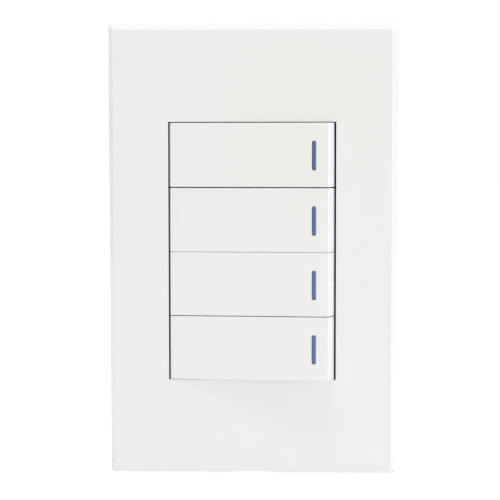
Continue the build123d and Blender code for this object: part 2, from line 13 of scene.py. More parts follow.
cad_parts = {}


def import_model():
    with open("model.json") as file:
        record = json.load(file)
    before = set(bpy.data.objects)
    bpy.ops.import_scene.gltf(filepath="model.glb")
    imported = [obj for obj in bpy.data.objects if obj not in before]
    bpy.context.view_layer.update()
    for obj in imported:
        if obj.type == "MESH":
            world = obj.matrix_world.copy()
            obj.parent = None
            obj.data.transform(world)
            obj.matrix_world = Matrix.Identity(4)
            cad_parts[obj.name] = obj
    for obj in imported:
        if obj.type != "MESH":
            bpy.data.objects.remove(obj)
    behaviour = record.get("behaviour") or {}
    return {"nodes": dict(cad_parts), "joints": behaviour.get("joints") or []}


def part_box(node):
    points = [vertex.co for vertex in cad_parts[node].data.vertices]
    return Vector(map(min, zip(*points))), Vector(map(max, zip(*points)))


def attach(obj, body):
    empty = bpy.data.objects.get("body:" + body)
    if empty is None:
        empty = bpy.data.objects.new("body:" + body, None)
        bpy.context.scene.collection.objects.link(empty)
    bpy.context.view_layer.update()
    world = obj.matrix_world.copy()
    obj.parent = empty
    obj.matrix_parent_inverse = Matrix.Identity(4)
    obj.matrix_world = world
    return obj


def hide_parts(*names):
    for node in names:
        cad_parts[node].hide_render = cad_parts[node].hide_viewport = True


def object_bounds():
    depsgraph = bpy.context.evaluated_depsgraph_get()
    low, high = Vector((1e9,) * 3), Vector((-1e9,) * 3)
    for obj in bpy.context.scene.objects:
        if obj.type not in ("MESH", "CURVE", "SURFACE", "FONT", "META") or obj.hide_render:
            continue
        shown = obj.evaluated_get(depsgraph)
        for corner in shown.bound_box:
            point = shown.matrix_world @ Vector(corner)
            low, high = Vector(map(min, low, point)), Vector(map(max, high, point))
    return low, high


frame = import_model()
CAD_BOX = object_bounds()

bl_info = {
    "name": "Four-gang light switch",
    "version": (1, 0, 0),
    "blender": (4, 5, 0),
    "location": "View3D > Sidebar > Light switch",
    "description": "Models the visible pieces of a four-gang light switch round its packed solids",
    "category": "Object",
}

GANGS = (1, 2, 3, 4)
COVER_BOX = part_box("cover_plate")
SMOOTH_ANGLE = math.radians(32)

# Allowances of the modelling, in metres: the same place, joined pieces, and cutters past what they cut
NEAR = 1e-6
OVERLAP = 0.0001
PAST = 0.002

# Small sizes that stay out of sight, in metres
CAVITY_PAST = 0.0005
ROOM_ABOVE = 0.0003
RIB_ROW = 0.028
RIB_HALF = 0.004
RIB_INNER = 0.0345
RIB_FRONT = -0.0027
RIB_BACK = -0.0014
RIB_CHAMFER = 0.0006
CAP_RIM = 0.0014
LIP_START = 0.0017
SLOT_DEPTH = 0.0025
FLANGE = 0.0006
FLANGE_DEPTH = 0.0007
HEAD_ROUNDING = 0.0003
CLAMP_SHANK = 0.0034
CROSS_ARM = 0.0015
THREAD_PITCH = 0.0005

# Shares: of a direction that counts as facing that way, of a whole, and of sizes that stay out of sight
FACING = 0.9
NEARLY = 0.999
RIB_STOP = 0.95
CAP_TAPER = 0.948
THREAD_DEPTH = 0.16

# Where the white finishes are a little warmer and darker, how far that spreads, and its share of the white;
# on the cover the spot is a painted reflection and shade of the first rocker's proud end, above the opening
COVER_REFLECTION_SPOT = (0.014, -0.008, 0.038)
ROCKER_WARM_SPOT = (0.014, -0.008, 0.030)
WARM_REACH = (0.004, 0.045)
WARM_SHARE = 0.5
WARM_TONE = (0.992, 0.989, 0.968)
WHITE_COAT = 0.15
ROCKER_LIFT = 1.014

# Depths behind the face between which painted shade turns the gaps' sides dark brown, its margins, the margin
# of the turned ends, and how fast painted shade comes on down the rockers' right ends
GAP_START = 0.0001
GAP_FULL = 0.0003
GAP_ABOVE = 0.0005
GAP_SIDE = 0.00001
END_SHADE_STEEPNESS = 5000.0

# Where the lens's painted shade on its left and lower edges and painted light on its right edge begin and
# end, in half widths and half heights; the top lens gets more painted shade
LEFT_BAND = (-1.0, -0.1)
RIGHT_BAND = (0.35, 1.0)
FOOT_BAND = (-0.97, -0.84)
FOOT_SHARE = 0.85
SPARK_SHARE = 0.35
TOP_LENS_SHADE = 0.82

# The lamps, the floor's own light for rays that see it, and the camera
TOP_LAMP = {"place": (0, -0.19, 1.0), "target": (0, -0.008, 0), "size": (0.3, 0.05)}
SIDE_LAMP = {"place": (1.05, -0.52, 0.15), "target": (0, 0, 0), "size": (0.5, 0.5)}
FLOOR_SIZE = 6
FLOOR_LIFT = 0.2
FLOOR_CAMERA_LIFT = 0.7
SENSOR_WIDTH = 36
CLIP_RANGE = (0.01, 20)
PURE_WHITE = (1, 1, 1, 1)


def pivot_height(gang):
    """The height of a gang's pivot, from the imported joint."""
    joint = next(j for j in frame["joints"] if j["name"] == f"rocker_{gang}_tilt")
    return joint["pos_m"][2]


def rocker_middle(gang):
    """The height of a rocker's middle, which has some play on its pivot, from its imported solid."""
    low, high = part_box(f"rocker_{gang}")
    return (low.z + high.z) / 2


def length(name, description, default):
    """A size in metres that the sidebar shows."""
    return bpy.props.FloatProperty(
        name=name, description=description, default=default, min=0, unit="LENGTH", subtype="DISTANCE",
        precision=5,
    )


def angle(name, description, default):
    """An angle that the sidebar shows."""
    return bpy.props.FloatProperty(name=name, description=description, default=default, subtype="ANGLE")


def colour(name, description, default):
    """A linear colour that the sidebar shows."""
    return bpy.props.FloatVectorProperty(
        name=name, description=description, default=default, size=3, subtype="COLOR", min=0, max=1
    )


def number(name, description, default, low, high):
    """A plain number that the sidebar shows."""
    return bpy.props.FloatProperty(name=name, description=description, default=default, min=low, max=high)


class CoverSettings(bpy.types.PropertyGroup):
    """Sizes of the cover plate."""

    draft: length("Draft", "How far each side leans in from the wall to the face", 0.0019)
    low_edge: length("Low edge", "How much less the lower side leans in", 0.0003)
    wall: length("Wall", "Thickness of the moulded wall", 0.0018)
    corner: length("Corner radius", "Radius of the four upright corners", 0.0009)
    edge: length("Edge radius", "Radius round the face", 0.0001)
    opening_width: length("Opening width", "Width of the rocker opening", 0.04398)
    opening_height: length("Opening height", "Height of the rocker opening", 0.0679)
    opening_rise: length("Opening rise", "How far the opening sits above the middle", 0.00008)
    opening_edge: length("Opening edge", "Small radius round the opening", 0.00006)
    skirt_wall: length("Skirt wall", "Wall behind the opening", 0.0012)
    skirt_depth: length("Skirt depth", "Where the skirt ends, in front of the wall", 0.004)
    notch_width: length("Notch width", "Width of the notch for taking the cover off", 0.009)
    notch_height: length("Notch height", "Height of that notch", 0.0016)


class RockerSettings(bpy.types.PropertyGroup):
    """Sizes of the rocker caps."""

    face_rise: length("Face rise", "From the pivot to the rocker's face", 0.009829)
    end_radius: length("End radius", "From the pivot to the turned ends", 0.02299)
    height: length("Height", "Height of one rocker", 0.01675)
    wall: length("Wall", "Thickness of the moulded wall", 0.0015)
    skirt: length("Skirt", "Depth of the cap from its face", 0.005)
    edge: length("Edge radius", "Radius along the rocker's long edges", 0.0002)
    end_edge: length("End edge radius", "Radius where the face meets the turned ends", 0.00022)
    hook_reach: length("Hook reach", "From the middle of the cap to a hook's inner side", 0.0091)
    hook_wall: length("Hook wall", "Thickness of the hooks that grip the carrier", 0.0012)
    hook_length: length("Hook length", "How far a hook runs up and down", 0.005)
    hook_lip: length("Hook lip", "How far a hook's lip reaches under the carrier", 0.0005)
    swing: angle("Swing", "Tilt of the rocker at rest, from flush with the wall", math.radians(4.4061))


class LensSettings(bpy.types.PropertyGroup):
    """Sizes and colours of the indicator lenses."""

    reach: length("Reach", "From the pivot's plane to the lens along the face", 0.0170264)
    drop: length("Drop", "How far the lens sits below the gang's middle", 0.00015)
    width: length("Width", "Width of the lens", 0.00115)
    height: length("Height", "Height of the lens", 0.0078)
    dome: length("Dome", "Radius of the lens's rounded face", 0.00035)
    tint: colour("Tint", "Colour of the middle of the lens", (0.064, 0.145, 0.327))
    # The left and foot tints are painted shade, and the right tint painted light, on the domed lens
    left_shade_tint: colour("Left tint", "Colour of the left edge of the lens", (0.045, 0.085, 0.160))
    right_light_tint: colour("Right tint", "Colour of the right edge of the lens", (0.155, 0.200, 0.355))
    foot_shade_tint: colour("Foot tint", "Colour of the lower end of the lens", (0.045, 0.06, 0.10))
    spark_tint: colour("Spark tint", "Colour of the pale flecks in the lens", (0.2, 0.3, 0.5))


class ScrewSettings(bpy.types.PropertyGroup):
    """Sizes of the clamp screws and of the plate's screws."""

    head_radius: length("Head radius", "Radius of a clamp screw's head", 0.0024)
    head_height: length("Head height", "Height of a clamp screw's head", 0.0015)
    shank_radius: length("Shank radius", "Radius over the clamp screw's thread", 0.00125)
    slot_width: length("Slot width", "Width of the driver slot", 0.0007)
    slot_depth: length("Slot depth", "Depth of the driver slot", 0.0006)
    plate_head_radius: length("Plate screw head", "Radius of a plate screw's head", 0.0028)
    plate_head_height: length("Plate screw head height", "Height of that head", 0.0019)
    plate_shank_radius: length("Plate screw shank", "Radius over the plate screw's thread", 0.00145)


class FinishSettings(bpy.types.PropertyGroup):
    """Colours of the finishes."""

    white: colour("White", "Gloss plastic of the cover and rockers", (0.831, 0.830, 0.8145))
    # The end white is painted light on the rockers' turned ends
    end_lit_white: colour("End white", "Turned ends of the rockers", (0.867, 0.866, 0.879))
    # The gap brown is painted shade down the gaps' sides
    gap_shade_brown: colour("Gap brown", "Sides of the gaps, below the face", (0.07, 0.038, 0.004))
    dust: colour("Dust", "Dust on faces that look up", (0.62, 0.60, 0.56))
    frame_white: colour("Frame", "Matt plastic of the inner frame", (0.70, 0.70, 0.66))
    deck_grey: colour("Deck", "Matt plastic of the pivot deck", (0.105, 0.105, 0.11))
    base_grey: colour("Base", "Matt plastic of the switch base", (0.56, 0.56, 0.53))
    carrier_grey: colour("Carrier", "Plastic of the rocker carriers", (0.23, 0.23, 0.24))
    zinc: colour("Zinc", "Zinc-plated steel", (0.60, 0.61, 0.63))


class StageSettings(bpy.types.PropertyGroup):
    """The camera, the lamps and the floor."""

    eye: bpy.props.FloatVectorProperty(
        name="Eye", description="Where the camera stands", size=3, unit="LENGTH", subtype="TRANSLATION",
        default=(0.015952, -0.45, 0.030246),
    )
    yaw: angle("Yaw", "Turn of the camera to the right", -0.03736)
    pitch: angle("Pitch", "Tilt of the camera upwards", -0.06731)
    roll: angle("Roll", "Roll of the camera", -0.00094)
    lens: number("Lens", "Focal length in millimetres", 121.396, 10, 400)
    ambient: number("Ambient", "Strength of the light from all round", 0.75, 0, 2)
    tilt: number("Ambient tilt", "How much stronger that light is from the right", 0.18, 0, 1)
    top_power: number("Top lamp", "Power of the lamp above, in watts", 3.4, 0, 50)
    side_power: number("Side lamp", "Power of the lamp on the right, in watts", 2.65, 0, 50)
    floor_tint: colour("Floor", "Colour of the floor", (0.97, 0.97, 0.97))


# Modelling helpers


def deselect_all():
    """Leaves object mode with nothing selected."""
    if bpy.context.mode != "OBJECT":
        bpy.ops.object.mode_set(mode="OBJECT")
    bpy.ops.object.select_all(action="DESELECT")


def select_only(piece):
    """Makes one piece the selected and active one."""
    deselect_all()
    piece.select_set(True)
    bpy.context.view_layer.objects.active = piece


def named(name):
    """The active piece, under its name."""
    piece = bpy.context.object
    piece.name = piece.data.name = name
    return piece


def remove(piece):
    """Deletes a piece that has done its work."""
    select_only(piece)
    bpy.ops.object.delete()


def settle(piece):
    """Puts a piece's place, turn and size into its mesh."""
    select_only(piece)
    bpy.ops.object.transform_apply(location=True, rotation=True, scale=True)
    return piece


def block(name, low, high):
    """A box between two corners, as the start of a piece."""
    low, high = Vector(low), Vector(high)
    deselect_all()
    bpy.ops.mesh.primitive_cube_add(size=1, location=(low + high) / 2)
    piece = named(name)
    piece.scale = high - low
    return settle(piece)


def rod(name, radius, low, high, axis, sides=48):
    """A round rod along X, Y or Z between two points on its axis, as the start of a piece."""
    low, high = Vector(low), Vector(high)
    turns = {"X": (0, math.pi / 2, 0), "Y": (math.pi / 2, 0, 0), "Z": (0, 0, 0)}
    deselect_all()
    bpy.ops.mesh.primitive_cylinder_add(
        vertices=sides, radius=radius, depth=(high - low).length, location=(low + high) / 2,
        rotation=turns[axis],
    )
    return settle(named(name))


def edit_all(piece):
    """Goes into edit mode with the whole piece selected."""
    select_only(piece)
    bpy.ops.object.mode_set(mode="EDIT")
    bpy.ops.mesh.select_all(action="SELECT")


def done_editing():
    """Leaves edit mode."""
    bpy.ops.object.mode_set(mode="OBJECT")


def pick(piece, kind, test):
    """Goes into edit mode with only the faces or the edges that pass a test selected."""
    select_only(piece)
    bpy.ops.object.mode_set(mode="EDIT")
    bpy.ops.mesh.select_mode(type=kind)
    bpy.ops.mesh.select_all(action="DESELECT")
    mesh = bmesh.from_edit_mesh(piece.data)
    chosen = [part for part in (mesh.faces if kind == "FACE" else mesh.edges) if test(part)]
    if not chosen:
        raise RuntimeError(f"{piece.name}: nothing passed the test")
    for part in chosen:
        part.select_set(True)
    bmesh.update_edit_mesh(piece.data)


def round_edges(piece, width, steps, test):
    """Rounds the edges of a piece that pass a test."""
    pick(piece, "EDGE", test)
    bpy.ops.mesh.bevel(offset_type="OFFSET", offset=width, segments=steps, profile=0.5, affect="EDGES")
    done_editing()


def before(depth):
    """A test for edges that lie at a depth or in front of it."""
    return lambda edge: all(v.co.y < depth + NEAR for v in edge.verts)


def along(edge, axis):
    """Whether an edge runs along an axis, 0 to 2."""
    run = edge.verts[1].co - edge.verts[0].co
    return abs(run[axis]) > NEARLY * run.length


def resize(value, centre):
    """Scales the selection about a point."""
    bpy.ops.transform.resize(value=value, center_override=centre)


def extrude(move):
    """Extrudes the selection by a move."""
    bpy.ops.mesh.extrude_region_move(TRANSFORM_OT_translate={"value": move})


def apply_modifier(piece, kind, **settings):
    """Adds a modifier to a piece and applies it."""
    select_only(piece)
    bpy.ops.object.modifier_add(type=kind)
    modifier = piece.modifiers[-1]
    for name, value in settings.items():
        setattr(modifier, name, value)
    bpy.ops.object.modifier_apply(modifier=modifier.name)


def combine(piece, other, operation="DIFFERENCE"):
    """Cuts another piece out of a piece, or adds it, and removes the other."""
    apply_modifier(piece, "BOOLEAN", operation=operation, solver="EXACT", object=other)
    remove(other)
    return piece


def clean(piece):
    """Merges doubles and turns every face outwards."""
    edit_all(piece)
    bpy.ops.mesh.remove_doubles(threshold=NEAR)
    bpy.ops.mesh.dissolve_degenerate(threshold=NEAR)
    bpy.ops.mesh.normals_make_consistent(inside=False)
    done_editing()


def finish_mesh(piece):
    """Cleans a finished piece and smooths its shading between its edges."""
    clean(piece)
    select_only(piece)
    bpy.ops.object.shade_smooth_by_angle(angle=SMOOTH_ANGLE)
    apply_modifier(piece, "WEIGHTED_NORMAL", keep_sharp=True)
    return piece


def copy_of(piece, name):
    """A copy of a piece with a mesh of its own."""
    select_only(piece)
    bpy.ops.object.duplicate(linked=False)
    return named(name)


def joined(name, pieces):
    """Several pieces as one."""
    deselect_all()
    for piece in pieces:
        piece.select_set(True)
    bpy.context.view_layer.objects.active = pieces[0]
    bpy.ops.object.join()
    return named(name)


def dress(piece, material, slot, body, *nodes):
    """Gives a piece its finish, its body and the solids that it stands for."""
    piece.data.materials.clear()
    piece.data.materials.append(material)
    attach(piece, body)
    if nodes:
        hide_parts(*nodes)


# Material helpers


def set_inputs(tree, node, values):
    """Sets a node's inputs to values, or links them to outputs."""
    for name, value in values.items():
        if isinstance(value, bpy.types.NodeSocket):
            tree.links.new(value, node.inputs[name])
        else:
            node.inputs[name].default_value = value


def add(tree, kind, inputs=None, **settings):
    """A new node with its inputs and settings."""
    node = tree.nodes.new(kind)
    for name, value in settings.items():
        setattr(node, name, value)
    set_inputs(tree, node, inputs or {})
    return node


def math_node(tree, operation, first, second=0.0, clamp=False):
    """The result of one sum."""
    return add(tree, "ShaderNodeMath", {0: first, 1: second}, operation=operation, use_clamp=clamp).outputs[0]


def times(tree, first, second, clamp=False):
    """The product of two values."""
    return math_node(tree, "MULTIPLY", first, second, clamp)


def blend_colours(tree, share, first, second):
    """A mix of two colours by a share."""
    return add(tree, "ShaderNodeMix", {0: share, 6: first, 7: second}, data_type="RGBA").outputs[2]


def spread(tree, value, low, high, start=0.0, end=1.0, smooth=False):
    """A value's range from low to high spread from start to end, and held there outside it."""
    inputs = {"Value": value, "From Min": low, "From Max": high, "To Min": start, "To Max": end}
    kind = "SMOOTHSTEP" if smooth else "LINEAR"
    return add(tree, "ShaderNodeMapRange", inputs, interpolation_type=kind).outputs[0]


def own_place(tree, centre=None):
    """The object's own coordinates, from a centre where one is given."""
    place = add(tree, "ShaderNodeTexCoord").outputs["Object"]
    if centre is None:
        return place
    offset = [-part for part in centre]
    return add(tree, "ShaderNodeMapping", {"Vector": place, "Location": offset}).outputs[0]


def axes(tree, place):
    """The X, Y and Z of a place or a direction."""
    return add(tree, "ShaderNodeSeparateXYZ", {0: place}).outputs


def distance(tree, place):
    """How far a place is from where its coordinates start."""
    return add(tree, "ShaderNodeVectorMath", {0: place}, operation="LENGTH").outputs["Value"]


def noise(tree, scale, detail, roughness=0.5, stretch=None):
    """Noise on the object's own coordinates, in features per metre."""
    place = own_place(tree)
    if stretch is not None:
        place = add(tree, "ShaderNodeMapping", {"Vector": place, "Scale": stretch}).outputs[0]
    inputs = {"Vector": place, "Scale": scale, "Detail": detail, "Roughness": roughness}
    return add(tree, "ShaderNodeTexNoise", inputs).outputs["Fac"]


def bump(tree, height, depth, normal=None):
    """A bumped normal from a height."""
    inputs = {"Height": height, "Distance": depth}
    if normal is not None:
        inputs["Normal"] = normal
    return add(tree, "ShaderNodeBump", inputs).outputs["Normal"]


def new_group(name, inputs, outputs):
    """An empty shader group, from its inputs with their defaults and its outputs' names."""
    group = bpy.data.node_groups.new(name, "ShaderNodeTree")
    for title, default in inputs.items():
        kind = "NodeSocketVector" if isinstance(default, tuple) else "NodeSocketFloat"
        group.interface.new_socket(title, in_out="INPUT", socket_type=kind).default_value = default
    for title in outputs:
        kind = "NodeSocketVector" if title == "Normal" else "NodeSocketFloat"
        group.interface.new_socket(title, in_out="OUTPUT", socket_type=kind)
    return group, add(group, "NodeGroupInput").outputs, add(group, "NodeGroupOutput")


def use_group(tree, name, inputs):
    """The outputs of a group placed in a material with its own values."""
    node = tree.nodes.new("ShaderNodeGroup")
    node.node_tree = bpy.data.node_groups[name]
    set_inputs(tree, node, inputs)
    return node.outputs


def softened(group, given):
    """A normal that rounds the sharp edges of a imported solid."""
    return add(group, "ShaderNodeBevel", {"Radius": given["Edge Radius"]}, samples=4).outputs[0]


def make_skin_group(name, sharp):
    """Moulded plastic: fine grain, slow waves of the surface and flow mottle, on sharp or rounded edges."""
    group, given, result = new_group(name, {
        "Grain Scale": 2500.0, "Grain Depth": 0.000004, "Wave Depth": 0.00004, "Edge Radius": 0.00012,
        "Gloss Low": 0.18, "Gloss High": 0.3,
    }, ("Mottle", "Roughness", "Normal"))
    waves, grain = noise(group, 55, 1), noise(group, given["Grain Scale"], 3)
    flow, flecks, rub = noise(group, 34, 3), noise(group, 240, 2), noise(group, 90, 4)
    mottle = math_node(group, "ADD", flow, times(group, flecks, 0.25))
    wavy = bump(group, waves, given["Wave Depth"], softened(group, given) if sharp else None)
    set_inputs(group, result, {
        "Mottle": math_node(group, "SUBTRACT", mottle, 0.12, clamp=True),
        "Roughness": spread(group, rub, 0.3, 0.7, given["Gloss Low"], given["Gloss High"]),
        "Normal": bump(group, grain, given["Grain Depth"], wavy),
    })


def make_wear_group():
    """A mask of the rubbed edges, found from the difference a rounded edge makes."""
    group, given, result = new_group("rubbed_edges", {"Radius": 0.0003, "Amount": 1.0}, ("Mask",))
    soft = add(group, "ShaderNodeBevel", {"Radius": given["Radius"]}, samples=6).outputs[0]
    sharp = add(group, "ShaderNodeNewGeometry").outputs["Normal"]
    same = add(group, "ShaderNodeVectorMath", {0: soft, 1: sharp}, operation="DOT_PRODUCT").outputs["Value"]
    edge = times(group, math_node(group, "SUBTRACT", 1.0, same), 5.0, clamp=True)
    broken = spread(group, noise(group, 900, 4), 0.35, 0.6)
    edge = times(group, edge, broken)
    set_inputs(group, result, {"Mask": times(group, edge, given["Amount"], clamp=True)})


def make_dust_group():
    """A mask of the dust that settles on faces that look up."""
    group, given, result = new_group("settled_dust", {"Amount": 0.3}, ("Mask",))
    up = axes(group, add(group, "ShaderNodeNewGeometry").outputs["Normal"])["Z"]
    patches = spread(group, noise(group, 420, 5), 0.35, 0.75)
    mask = times(group, spread(group, up, 0.35, 1.0), patches)
    set_inputs(group, result, {"Mask": times(group, mask, given["Amount"], clamp=True)})


def make_metal_group(name, sharp):
    """Rolled or turned metal: fine lines in one direction and smears, on sharp or rounded edges."""
    group, given, result = new_group(name, {
        "Stretch": (1.0, 1.0, 0.04), "Line Scale": 5000.0, "Line Depth": 0.000003, "Edge Radius": 0.00015,
        "Gloss Low": 0.28, "Gloss High": 0.45,
    }, ("Smear", "Roughness", "Normal"))
    lines = noise(group, given["Line Scale"], 3.0, stretch=given["Stretch"])
    smear = noise(group, 160, 5, roughness=0.6)
    halves = [times(group, part, 0.5) for part in (lines, smear)]
    shine = math_node(group, "ADD", *halves)
    start = softened(group, given) if sharp else None
    set_inputs(group, result, {
        "Smear": smear,
        "Roughness": spread(group, shine, 0.35, 0.65, given["Gloss Low"], given["Gloss High"]),
        "Normal": bump(group, lines, given["Line Depth"], start),
    })


def new_material(name, kind="ShaderNodeBsdfPrincipled"):
    """A material with its shader and nothing else."""
    material = bpy.data.materials.new(name)
    material.use_nodes = True
    tree = material.node_tree
    tree.nodes.clear()
    shader = tree.nodes.new(kind)
    add(tree, "ShaderNodeOutputMaterial", {"Surface": shader.outputs[0]})
    return material, tree, shader


def shade(base, factor=1.0):
    """A colour made lighter or darker, with its alpha."""
    return (*(min(1.0, part * factor) for part in base), 1.0)


def moulded(name, base, gloss, grain=2500, depth=0.000004, wave=0.00004, contrast=0.03, dust=0.25,
            skin_group="sharp_moulding"):
    """A moulded plastic of one colour, with its mottle, rubbed edges and a little dust."""
    material, tree, shader = new_material(name)
    skin = use_group(tree, skin_group, {
        "Grain Scale": float(grain), "Grain Depth": depth, "Wave Depth": wave,
        "Gloss Low": gloss[0], "Gloss High": gloss[1],
    })
    tone = blend_colours(tree, skin["Mottle"], shade(base, 1 - contrast), shade(base, 1 + contrast * 0.6))
    wear = use_group(tree, "rubbed_edges", {"Radius": 0.00025, "Amount": 0.5})["Mask"]
    tone = blend_colours(tree, wear, tone, shade(base, 1.06))
    fluff = use_group(tree, "settled_dust", {"Amount": dust})["Mask"]
    tone = blend_colours(tree, fluff, tone, shade(bpy.context.scene.switch_finish.dust))
    rough = math_node(tree, "ADD", skin["Roughness"], times(tree, fluff, 0.4))
    set_inputs(tree, shader, {
        "Base Color": tone, "Roughness": rough, "Normal": skin["Normal"], "IOR": 1.5, "Coat Roughness": 0.08,
    })
    return material


def metal(name, base, gloss, stretch=(1.0, 1.0, 0.04), lines=5000.0, tarnish=None, skin_group="sharp_metal"):
    """A worked metal of one colour, with its lines, smears and a little tarnish."""
    material, tree, shader = new_material(name)
    skin = use_group(tree, skin_group, {
        "Stretch": stretch, "Line Scale": lines, "Gloss Low": gloss[0], "Gloss High": gloss[1],
    })
    tone = blend_colours(tree, skin["Smear"], shade(base, 0.8), shade(base, 1.08))
    wear = use_group(tree, "rubbed_edges", {"Radius": 0.0003, "Amount": 0.8})["Mask"]
    tone = blend_colours(tree, wear, tone, shade(base, 1.2))
    if tarnish:
        spots = spread(tree, noise(tree, 700, 6, roughness=0.7), 0.58, 0.75)
        tone = blend_colours(tree, spots, tone, shade(tarnish))
    set_inputs(tree, shader, {
        "Base Color": tone, "Roughness": skin["Roughness"], "Metallic": 1.0, "Normal": skin["Normal"],
    })
    return material


def side_gap_shade(tree, place):
    """A mask of the opening's two side walls below the face, where shade is painted in dark brown."""
    cover = bpy.context.scene.switch_cover
    across, depth, upright = axes(tree, place)
    across, upright = (math_node(tree, "ABSOLUTE", part) for part in (across, upright))
    wall = cover.opening_width / 2 - GAP_SIDE
    mask = spread(tree, depth, COVER_BOX[0].y + GAP_START, COVER_BOX[0].y + GAP_FULL, smooth=True)
    for inside in (
        math_node(tree, "GREATER_THAN", across, wall),
        math_node(tree, "LESS_THAN", across, wall + cover.wall),
        math_node(tree, "LESS_THAN", upright, cover.opening_height / 2 + GAP_ABOVE),
    ):
        mask = times(tree, mask, inside)
    return mask


def lit_and_shaded_ends(tree, place):
    """A mask of the rockers' turned ends, which get painted light, and one of their right ends where these
    stay in the opening, which get painted shade.
    """
    across, depth, _ = axes(tree, place)
    flat = add(tree, "ShaderNodeCombineXYZ", {"X": across, "Y": depth}).outputs[0]
    radius = bpy.context.scene.switch_rocker.end_radius - GAP_START
    ends = math_node(tree, "GREATER_THAN", distance(tree, flat), radius)
    below = math_node(tree, "SUBTRACT", depth, COVER_BOX[0].y + GAP_START)
    buried_shade = times(tree, below, END_SHADE_STEEPNESS, clamp=True)
    for inside in (math_node(tree, "GREATER_THAN", across, 0.0), ends):
        buried_shade = times(tree, buried_shade, inside)
    return ends, buried_shade


def make_white(name, base, warm_spot):
    """The gloss white of the cover or rockers, warmer round one spot, with painted shade in dark brown inside
    the gaps and painted light on the rockers' turned ends.
    """
    tones = bpy.context.scene.switch_finish
    material = moulded(name, base, (0.3, 0.36), grain=1500, depth=0.0000025, wave=0.000035, contrast=0.012,
                       dust=0.08, skin_group="round_moulding")
    tree = material.node_tree
    shader = next(n for n in tree.nodes if n.type == "BSDF_PRINCIPLED")
    tone, rough = (shader.inputs[name].links[0].from_socket for name in ("Base Color", "Roughness"))
    # A warmer, darker tint round one spot; on the cover it is a painted reflection and shade of the first
    # rocker's proud end
    away = distance(tree, own_place(tree, warm_spot))
    near = spread(tree, away, *WARM_REACH, WARM_SHARE, 0.0, smooth=True)
    warm = [part * share for part, share in zip(base, WARM_TONE)]
    tone = blend_colours(tree, near, tone, shade(warm))
    if name == "cover_white":
        # Painted shade down the opening's side walls on the cover
        painted_shade = side_gap_shade(tree, own_place(tree))
    else:
        # Painted light on the rockers' turned ends, and painted shade where their right ends stay behind the
        # face
        ends, painted_shade = lit_and_shaded_ends(tree, own_place(tree))
        tone = blend_colours(tree, ends, tone, shade(tones.end_lit_white))
    open_share = math_node(tree, "SUBTRACT", 1.0, painted_shade)
    # Where shade is painted, the white is also dull, metallic and uncoated, so that no pale sheen shows there
    set_inputs(tree, shader, {
        "Base Color": blend_colours(tree, painted_shade, tone, shade(tones.gap_shade_brown)),
        "Metallic": painted_shade,
        "Roughness": math_node(tree, "ADD", rough, painted_shade, clamp=True),
        "Coat Weight": times(tree, open_share, WHITE_COAT),
    })
    return material


def make_lens_blue(name, centre, settings, factor):
    """The blue lens: clear gloss over a tinted body, with painted shade along its left and lower edges and
    painted light along its right edge.
    """
    material, tree, shader = new_material(name)
    across, _, upright = axes(tree, own_place(tree, centre))
    left, right = (
        spread(tree, across, *(settings.width / 2 * share for share in band), smooth=True)
        for band in (LEFT_BAND, RIGHT_BAND)
    )
    foot_shade = spread(
        tree, upright, *(settings.height / 2 * share for share in FOOT_BAND), FOOT_SHARE, 0.0, smooth=True
    )
    sparks = spread(tree, noise(tree, 1500, 3), 0.55, 0.8, 0.0, SPARK_SHARE)
    # Painted shade on the left edge; the top lens is darker over its left edge and middle by its factor
    tone = blend_colours(tree, left, shade(settings.left_shade_tint, factor), shade(settings.tint, factor))
    # Painted light on the right edge, painted shade on the lower end, and pale flecks
    for share, tint in (
        (right, settings.right_light_tint), (foot_shade, settings.foot_shade_tint), (sparks, settings.spark_tint)
    ):
        tone = blend_colours(tree, share, tone, shade(tint))
    set_inputs(tree, shader, {
        "Base Color": tone, "Roughness": spread(tree, noise(tree, 800, 3), 0.0, 1.0, 0.06, 0.16),
        "Normal": bump(tree, noise(tree, 900, 2), 0.00001), "IOR": 1.49, "Coat Weight": 0.6,
        "Coat Roughness": 0.05,
    })
    return material


def make_board_green(name):
    """Solder mask over copper tracks on the lamp board."""
    material, tree, shader = new_material(name)
    tracks = add(tree, "ShaderNodeTexBrick", {
        "Vector": own_place(tree), "Scale": 420.0, "Mortar Size": 0.03, "Color1": (0.02, 0.17, 0.06, 1),
        "Color2": (0.025, 0.2, 0.07, 1), "Mortar": (0.06, 0.32, 0.13, 1),
    }, offset=0.5).outputs["Color"]
    skin = use_group(tree, "sharp_moulding", {"Gloss Low": 0.2, "Gloss High": 0.4})
    set_inputs(tree, shader, {
        "Base Color": blend_colours(tree, noise(tree, 300, 3), tracks, (0.02, 0.15, 0.05, 1)),
        "Roughness": skin["Roughness"], "Normal": skin["Normal"],
    })
    return material


